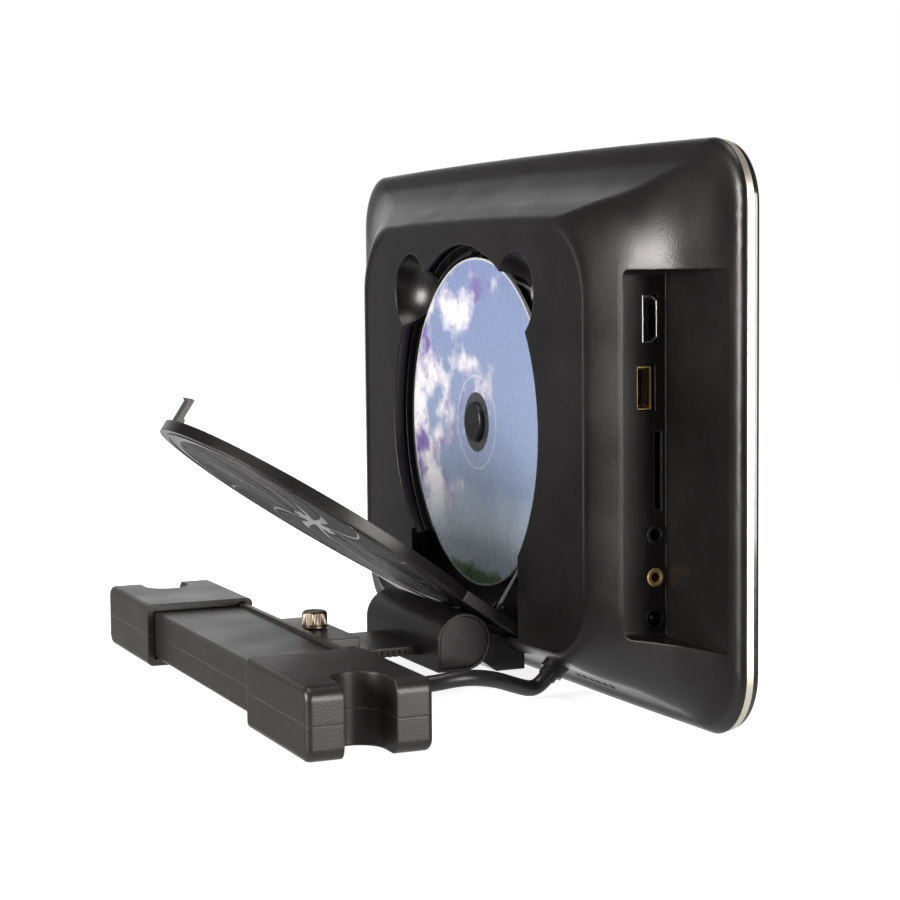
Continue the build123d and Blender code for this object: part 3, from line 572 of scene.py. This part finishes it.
def bump(tree, shader, height, strength, distance, normal=None):
    """Adds a fine relief to a shader, on top of a normal where one is given."""
    node = tree.nodes.new("ShaderNodeBump")
    if normal:
        tree.links.new(normal, node.inputs["Normal"])
    node.inputs["Strength"].default_value = strength
    node.inputs["Distance"].default_value = distance
    tree.links.new(height, node.inputs["Height"])
    tree.links.new(node.outputs["Normal"], shader.inputs["Normal"])


def edge_mask(tree, radius):
    """About 1 along the piece's edges and 0 on its flat faces, and the normal of the softened edge."""
    rounded = tree.nodes.new("ShaderNodeBevel")
    rounded.samples = 4
    rounded.inputs["Radius"].default_value = radius
    geometry = tree.nodes.new("ShaderNodeNewGeometry")
    dot = tree.nodes.new("ShaderNodeVectorMath")
    dot.operation = "DOT_PRODUCT"
    tree.links.new(rounded.outputs["Normal"], dot.inputs[0])
    tree.links.new(geometry.outputs["Normal"], dot.inputs[1])
    return spread(tree, dot.outputs["Value"], 0.995, 0.90, 0.0, 1.0), rounded.outputs["Normal"]


def tinted(colour, factor):
    """A colour made lighter or darker."""
    return tuple(channel * factor for channel in colour)


def finish(tree, shader, colour, rough):
    """Feeds a shader's colour and roughness."""
    tree.links.new(colour, shader.inputs["Base Color"])
    tree.links.new(rough, shader.inputs["Roughness"])


def maths(tree, operation, first, second):
    """The result of a sum on two values; the second is a socket or a number."""
    node = tree.nodes.new("ShaderNodeMath")
    node.operation = operation
    tree.links.new(first, node.inputs[0])
    if isinstance(second, float):
        node.inputs[1].default_value = second
    else:
        tree.links.new(second, node.inputs[1])
    return node


SHEEN_SPOTS = 0.06              # how far the gloss of moulded plastic varies
PLASTIC_SPECULAR = 0.55


def moulded(name, colour, wear_and_sheen_colour, rough, grain, grain_depth, edge=0.0004):
    """Moulded plastic: fine grain, slow variation in gloss, and lighter edges, partly rubbed wear and
    partly painted sheen.
    """
    material, tree, shader = new_material(name)
    shader.inputs["Specular IOR Level"].default_value = PLASTIC_SPECULAR
    at = position(tree)
    cloud = noise(tree, at, 38.0, 4.0)
    fine = noise(tree, at, grain, 2.0, 0.6)
    base = blend_colours(tree, spread(tree, cloud, 0.35, 0.7, 0.0, 1.0), colour, tinted(colour, 1.25))
    wear_and_sheen_edges, softened = edge_mask(tree, edge)
    gloss = spread(tree, cloud, 0.3, 0.7, rough - SHEEN_SPOTS, rough + SHEEN_SPOTS)
    # The edges blend towards a lighter colour: partly rubbed wear, partly a painted sheen.
    finish(tree, shader, blend_colours(tree, wear_and_sheen_edges, base, wear_and_sheen_colour), gloss)
    bump(tree, shader, fine, 0.55, grain_depth, softened)
    return material


def metal(name, colour, rough, streak, axis_scale=(1, 1, 1), depth=0.00002, fine=0.08):
    """Bright metal with brushing along one direction and slight smudges."""
    material, tree, shader = new_material(name)
    shader.inputs["Metallic"].default_value = 1.0
    at = position(tree, scale=axis_scale)
    lines = noise(tree, at, streak, 3.0, 0.6)
    smudge = spread(tree, noise(tree, position(tree), 90.0, 3.0), 0.35, 0.7, 0.0, 1.0)
    tone = blend_colours(tree, smudge, colour, tinted(colour, 0.82))
    finish(tree, shader, tone, spread(tree, lines, 0.3, 0.7, rough - fine, rough + fine))
    bump(tree, shader, lines, 0.3, depth)
    return material


def sheath(name, colour, rough):
    """Smooth flexible sheath with faint dust."""
    material, tree, shader = new_material(name)
    at = position(tree)
    dust = noise(tree, at, 700.0, 5.0, 0.7)
    tone = blend_colours(tree, spread(tree, dust, 0.55, 0.8, 0.0, 1.0), colour, tinted(colour, 1.8))
    finish(tree, shader, tone, spread(tree, dust, 0.3, 0.7, rough - 0.05, rough + 0.08))
    bump(tree, shader, noise(tree, at, 900.0, 3.0), 0.25, 0.00005)
    return material


def polished(name, colour, rough):
    """Hard glossy plastic with a clear coat and faint wiping marks."""
    material, tree, shader = new_material(name)
    shader.inputs["Coat Weight"].default_value = 0.6
    shader.inputs["Coat Roughness"].default_value = 0.06
    at = position(tree)
    wipe = noise(tree, position(tree, scale=(1, 1, 5)), 60.0, 5.0, 0.65)
    tone = blend_colours(tree, noise(tree, at, 25.0, 3.0), colour, tinted(colour, 1.3))
    finish(tree, shader, tone, spread(tree, wipe, 0.35, 0.75, rough, rough + 0.12))
    bump(tree, shader, noise(tree, at, 400.0, 2.0), 0.08, 0.00002)
    return material


def circuit_board(name):
    """Solder mask over a pattern of tracks."""
    material, tree, shader = new_material(name)
    at = position(tree)
    cells = tree.nodes.new("ShaderNodeTexVoronoi")
    cells.feature = "DISTANCE_TO_EDGE"
    cells.inputs["Scale"].default_value = 350.0
    tree.links.new(at, cells.inputs["Vector"])
    track = spread(tree, cells.outputs["Distance"], 0.04, 0.09, 1.0, 0.0)
    mask = blend_colours(tree, track, (0.012, 0.10, 0.045), (0.03, 0.20, 0.09))
    finish(tree, shader, mask, spread(tree, noise(tree, at, 300.0), 0.3, 0.7, 0.3, 0.45))
    bump(tree, shader, track, 0.4, 0.00003)
    return material


def clear_lens(name):
    """Coated glass of the pickup's lens."""
    material, tree, shader = new_material(name)
    shader.inputs["Transmission Weight"].default_value = 0.8
    at = position(tree)
    coating = blend_colours(tree, noise(tree, at, 300.0), (0.35, 0.45, 0.75), (0.55, 0.5, 0.8))
    finish(tree, shader, coating, spread(tree, noise(tree, at, 900.0), 0.3, 0.7, 0.04, 0.1))
    return material


SKY_LOW = (0.28, 0.36, 0.51)
SKY_HIGH = (0.19, 0.24, 0.42)
CLOUD_SHADE = (0.18, 0.14, 0.36)
CLOUD_WHITE = (0.78, 0.77, 0.80)
# Printed haze low on the picture, made lighter than the print as painted light where the door shades the
# disc.
HAZE_AND_PAINTED_LIGHT = (0.74, 0.88, 1.0)
GRASS_DARK = (0.03, 0.12, 0.03)
GRASS_LIGHT = (0.12, 0.30, 0.08)
CLEAR_DARK = (0.035, 0.035, 0.038)
CLEAR_LIGHT = (0.06, 0.06, 0.065)
BARE_RIM = (0.45, 0.47, 0.49)
STACKING_RING = (0.50, 0.54, 0.66)


def disc_print(name):
    """The printed side of the disc: clouds in a sky over a green edge, a clear middle and a bare rim."""
    material, tree, shader = new_material(name)
    shader.inputs["Coat Weight"].default_value = 0.7
    shader.inputs["Coat Roughness"].default_value = 0.05
    at = position(tree, shift=tuple(-Vector(DISC_AT) * MM))
    flat = tree.nodes.new("ShaderNodeVectorMath")
    flat.operation = "MULTIPLY"
    flat.inputs[1].default_value = (1, 0, 1)
    tree.links.new(at, flat.inputs[0])
    length = tree.nodes.new("ShaderNodeVectorMath")
    length.operation = "LENGTH"
    tree.links.new(flat.outputs["Vector"], length.inputs[0])
    radius = length.outputs["Value"]
    split = tree.nodes.new("ShaderNodeSeparateXYZ")
    tree.links.new(at, split.inputs["Vector"])
    height = split.outputs["Z"]

    picture = blend_colours(tree, spread(tree, height, -0.05, 0.055, 0.0, 1.0), SKY_LOW, SKY_HIGH)
    puff = noise(tree, position(tree, shift=(0.03, 0, 0.02), scale=(1, 1, 1.25)), 34.0, 7.0, 0.55)
    cloudier_side = spread(tree, split.outputs["X"], -0.02, 0.045, -0.16, 0.09)
    cover = maths(tree, "ADD", puff, cloudier_side).outputs["Value"]
    shade = noise(tree, position(tree, shift=(0.03, 0, 0.026)), 46.0, 6.0, 0.6)
    cloud = blend_colours(tree, spread(tree, shade, 0.40, 0.53, 0.0, 1.0), CLOUD_SHADE, CLOUD_WHITE)
    picture = blend_colours(tree, spread(tree, cover, 0.47, 0.57, 0.0, 1.0), picture, cloud)

    ripple = spread(tree, noise(tree, at, 60.0, 4.0), 0.3, 0.7, -0.003, 0.003)
    meadow = maths(tree, "ADD", height, ripple).outputs["Value"]
    # Low on the disc the picture turns to the haze colour: printed haze, lightened as painted light against
    # the door's shade.
    picture = blend_colours(tree, spread(tree, meadow, -0.022, -0.044, 0.0, 0.85), picture, HAZE_AND_PAINTED_LIGHT)
    grass = blend_colours(tree, noise(tree, at, 900.0, 3.0), GRASS_DARK, GRASS_LIGHT)
    picture = blend_colours(tree, spread(tree, meadow, -0.0525, -0.0555, 0.0, 1.0), picture, grass)

    clear = blend_colours(tree, noise(tree, at, 60.0, 2.0), CLEAR_DARK, CLEAR_LIGHT)
    picture = blend_colours(tree, spread(tree, radius, 0.0108, 0.0111, 0.0, 1.0), clear, picture)
    picture = blend_colours(tree, spread(tree, radius, 0.0591, 0.0593, 0.0, 1.0), picture, BARE_RIM)
    near_ring = maths(tree, "COMPARE", radius, 0.0170)
    near_ring.inputs[2].default_value = 0.00025
    on_ring = near_ring.outputs["Value"]
    picture = blend_colours(tree, on_ring, picture, STACKING_RING)
    finish(tree, shader, picture, spread(tree, noise(tree, at, 500.0, 3.0), 0.3, 0.7, 0.22, 0.36))
    bump(tree, shader, on_ring, 0.5, 0.0002)
    return material


MOULDED = {                     # colour, colour of the lighter edges (rubbed wear and painted sheen), roughness, grain, its depth, edge radius
    "shell_black": ((0.0040, 0.0036, 0.0035), (0.012, 0.011, 0.010), 0.33, 1700.0, 0.00010, 0.0007),
    "latch_black": ((0.014, 0.014, 0.015), (0.035, 0.035, 0.036), 0.42, 1500.0, 0.00008),
    "deck_black": ((0.008, 0.008, 0.009), (0.020, 0.020, 0.021), 0.34, 2200.0, 0.00005),
    "bracket_plastic": ((0.0120, 0.0100, 0.0092), (0.032, 0.028, 0.025), 0.36, 1700.0, 0.00008, 0.0009),
    "speaker_black": ((0.02, 0.02, 0.02), (0.04, 0.04, 0.04), 0.6, 2400.0, 0.0001),
    "socket_black": ((0.006, 0.006, 0.006), (0.02, 0.02, 0.02), 0.28, 2600.0, 0.00003, 0.0002),
}
POLISHED = {                    # colour, roughness
    "bezel_black": ((0.008, 0.008, 0.009), 0.14),
    "screen_glass": ((0.010, 0.011, 0.014), 0.05),
    "panel": ((0.012, 0.012, 0.016), 0.12),
    "button_black": ((0.02, 0.02, 0.022), 0.2),
}
METAL = {                       # colour, roughness, streaks, their stretch and depth, spread of roughness
    "trim_silver": ((0.88, 0.82, 0.71), 0.46, 1500.0, (1, 1, 1), 0.000004, 0.03),
    "tray_steel": ((0.62, 0.62, 0.62), 0.35, 500.0, (0.1, 1, 4)),
    "steel": ((0.42, 0.41, 0.39), 0.36, 900.0, (1, 1, 0.3)),
    "stay_steel": ((0.85, 0.85, 0.87), 0.12, 1500.0, (1, 1, 1), 0.00002, 0.04),
    "socket_gold": ((1.0, 0.70, 0.33), 0.48, 900.0),
    "knob_metal": ((0.24, 0.20, 0.16), 0.36, 1200.0, (1, 1, 0.15)),
}
SHEATH = {                      # colour, roughness
    "damper_rubber": ((0.02, 0.02, 0.02), 0.65),
    "cable_black": ((0.010, 0.010, 0.011), 0.36),
}
KINDS = ((moulded, MOULDED), (polished, POLISHED), (metal, METAL), (sheath, SHEATH))
MATERIALS = {name: kind(name, *look) for kind, looks in KINDS for name, look in looks.items()}
MATERIALS["board_green"] = circuit_board("board_green")
MATERIALS["lens_glass"] = clear_lens("lens_glass")
MATERIALS["disc_print"] = disc_print("disc_print")

slot_of = {part["node"]: part["material_slot"] for part in frame["record"]["subparts"]}
for name, node in nodes.items():
    node.data.materials.clear()
    node.data.materials.append(MATERIALS[slot_of[name]])
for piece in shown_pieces():
    if "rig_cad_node" not in piece and "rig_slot" in piece:
        piece.data.materials.append(MATERIALS[piece["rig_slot"]])

# ---------------------------------------------------------------- floor and light
FLOOR_HALF = 1.5
floor_material, _, floor_shader = new_material("floor")
floor_shader.inputs["Base Color"].default_value = (0.92, 0.92, 0.92, 1)
floor_shader.inputs["Roughness"].default_value = 0.9
floor_shader.inputs["Specular IOR Level"].default_value = 0.0
floor_shader.inputs["Emission Color"].default_value = (1, 1, 1, 1)
floor_shader.inputs["Emission Strength"].default_value = 0.85
floor_corners = [Vector((x, y, 0)) * FLOOR_HALF for x, y in ((-1, -1), (1, -1), (1, 1), (-1, 1))]
floor = add_mesh("floor", floor_corners, [(0, 1, 2, 3)], smooth=False)
floor.location.z = -0.0002
floor.visible_glossy = False
floor.data.materials.append(floor_material)

# The camera sees plain white; reflections see a white wall behind the player and a glow from below.
world = bpy.data.worlds.new("studio")
world.use_nodes = True
sky_tree = world.node_tree
background = sky_tree.nodes["Background"]
background.inputs["Color"].default_value = (1, 1, 1, 1)
direction = sky_tree.nodes.new("ShaderNodeTexCoord").outputs["Generated"]
towards_wall = sky_tree.nodes.new("ShaderNodeVectorMath")
towards_wall.operation = "DOT_PRODUCT"
towards_wall.inputs[1].default_value = (0.918, -0.396, 0.0)
sky_tree.links.new(direction, towards_wall.inputs[0])
wall_glow = spread(sky_tree, towards_wall.outputs["Value"], 0.74, 0.90, 0.10, 1.0)
direction_parts = sky_tree.nodes.new("ShaderNodeSeparateXYZ")
sky_tree.links.new(direction, direction_parts.inputs["Vector"])
low_glow = spread(sky_tree, direction_parts.outputs["Z"], -0.2, -0.55, 0.0, 0.6)
glow = maths(sky_tree, "ADD", wall_glow, low_glow).outputs["Value"]
ray = sky_tree.nodes.new("ShaderNodeLightPath")
strength = sky_tree.nodes.new("ShaderNodeMix")
sky_tree.links.new(ray.outputs["Is Camera Ray"], strength.inputs["Factor"])
sky_tree.links.new(glow, strength.inputs["A"])
strength.inputs["B"].default_value = 1.0
sky_tree.links.new(strength.outputs["Result"], background.inputs["Strength"])
scene.world = world
scene.view_settings.view_transform = "Standard"

LIGHT_COLOUR = (1.0, 0.955, 0.925)
LIGHTS_AIM_AT = (0, 0, 0.08)


def soft_light(name, at, size, power):
    """A square soft light aimed at the middle of the player."""
    data = bpy.data.lights.new(name, "AREA")
    data.shape = "SQUARE"
    data.size = size
    data.energy = power
    data.color = LIGHT_COLOUR
    light = bpy.data.objects.new(name, data)
    light.location = at
    light.rotation_mode = "QUATERNION"
    light.rotation_quaternion = (Vector(LIGHTS_AIM_AT) - Vector(at)).to_track_quat("-Z", "Y")
    scene.collection.objects.link(light)


soft_light("key", (-0.1, 1.8, 0.42), 0.8, 48)
soft_light("fill", (-1.9, -0.75, 0.30), 1.0, 42)
soft_light("top", (0.0, 0.2, 1.6), 0.9, 10)
